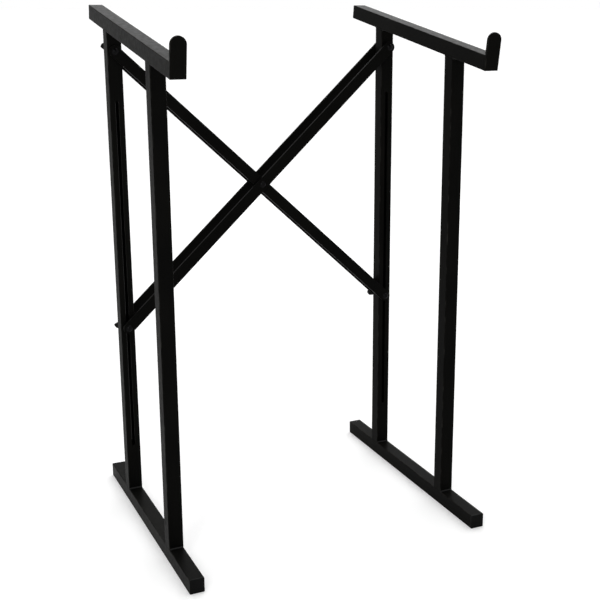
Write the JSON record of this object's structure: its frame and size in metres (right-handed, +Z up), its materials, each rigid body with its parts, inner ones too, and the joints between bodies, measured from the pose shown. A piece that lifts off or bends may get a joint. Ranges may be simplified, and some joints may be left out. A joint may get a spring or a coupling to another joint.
{
  "type": "mixer stand",
  "caption": "Folding mixer stand: sloping front-lipped rails on welded box-tube side frames, joined by a scissor brace of paired flat bars that slides in slotted rear uprights.",
  "frame": {"origin": "on the floor, under the centre of the bounding box", "axes": "+X to the right as seen from the front, +Y to the rear, +Z up"},
  "size_m": [0.551, 0.5009, 0.9062],
  "materials": {
    "black_paint": "satin powder coat",
    "black_plastic": "moulded matte",
    "black_hardware": "black zinc plate"
  },
  "bodies": {
    "left_frame": {"left_foot_tube": "black_paint", "left_rear_upright": "black_paint", "left_front_upright": "black_paint", "left_top_rail": "black_paint", "left_lip_plate": "black_paint", "left_foot_front_plug": "black_plastic", "left_foot_rear_plug": "black_plastic", "left_rail_plug": "black_plastic", "left_welds": "black_paint"},
    "right_frame": {"right_foot_tube": "black_paint", "right_rear_upright": "black_paint", "right_front_upright": "black_paint", "right_top_rail": "black_paint", "right_lip_plate": "black_paint", "right_foot_front_plug": "black_plastic", "right_foot_rear_plug": "black_plastic", "right_rail_plug": "black_plastic", "right_welds": "black_paint"},
    "brace_a": {"brace_a_front_bar": "black_paint", "brace_a_rear_bar": "black_paint", "brace_a_bolts": "black_hardware", "crossing_sleeve": "black_hardware"},
    "brace_b": {"brace_b_front_bar": "black_paint", "brace_b_rear_bar": "black_paint", "brace_b_bolts": "black_hardware", "brace_b_spacers": "black_hardware", "crossing_nut": "black_hardware"},
    "upper_left_wing_nut": {"upper_left_wing_nut": "black_plastic"},
    "upper_right_wing_nut": {"upper_right_wing_nut": "black_plastic"},
    "lower_left_wing_nut": {"lower_left_wing_nut": "black_plastic"},
    "lower_right_wing_nut": {"lower_right_wing_nut": "black_plastic"}
  },
  "joints": [
    {"name": "fold", "type": "hinge", "parent": "left_frame", "child": "brace_a", "pos_m": [-0.2615, 0.13201, 0.8295], "axis": [0, 1, 0], "range_deg": [-35.9, 42.4]},
    {"name": "crossing_pivot", "type": "hinge", "parent": "brace_a", "child": "brace_b", "pos_m": [0, 0.13201, 0.58536], "axis": [0, 1, 0], "range_deg": [-84.8, 71.8]},
    {"name": "right_pivot", "type": "hinge", "parent": "brace_b", "child": "right_frame", "pos_m": [0.2615, 0.13201, 0.8295], "axis": [0, 1, 0], "range_deg": [-35.9, 42.4]},
    {"name": "upper_left_nut_turn", "type": "hinge", "parent": "brace_a", "child": "upper_left_wing_nut", "pos_m": [-0.2615, 0.13201, 0.8295], "axis": [0, 1, 0], "range_deg": [0, 270]},
    {"name": "upper_right_nut_turn", "type": "hinge", "parent": "brace_b", "child": "upper_right_wing_nut", "pos_m": [0.2615, 0.13201, 0.8295], "axis": [0, 1, 0], "range_deg": [0, 270]},
    {"name": "lower_left_nut_turn", "type": "hinge", "parent": "brace_b", "child": "lower_left_wing_nut", "pos_m": [-0.2615, 0.13201, 0.34123], "axis": [0, 1, 0], "range_deg": [0, 270]},
    {"name": "lower_right_nut_turn", "type": "hinge", "parent": "brace_a", "child": "lower_right_wing_nut", "pos_m": [0.2615, 0.13201, 0.34123], "axis": [0, 1, 0], "range_deg": [0, 270]}
  ],
  "couplings": [
    {"joint": "crossing_pivot", "follows": "fold", "ratio": -2},
    {"joint": "right_pivot", "follows": "fold", "ratio": 1}
  ]
}
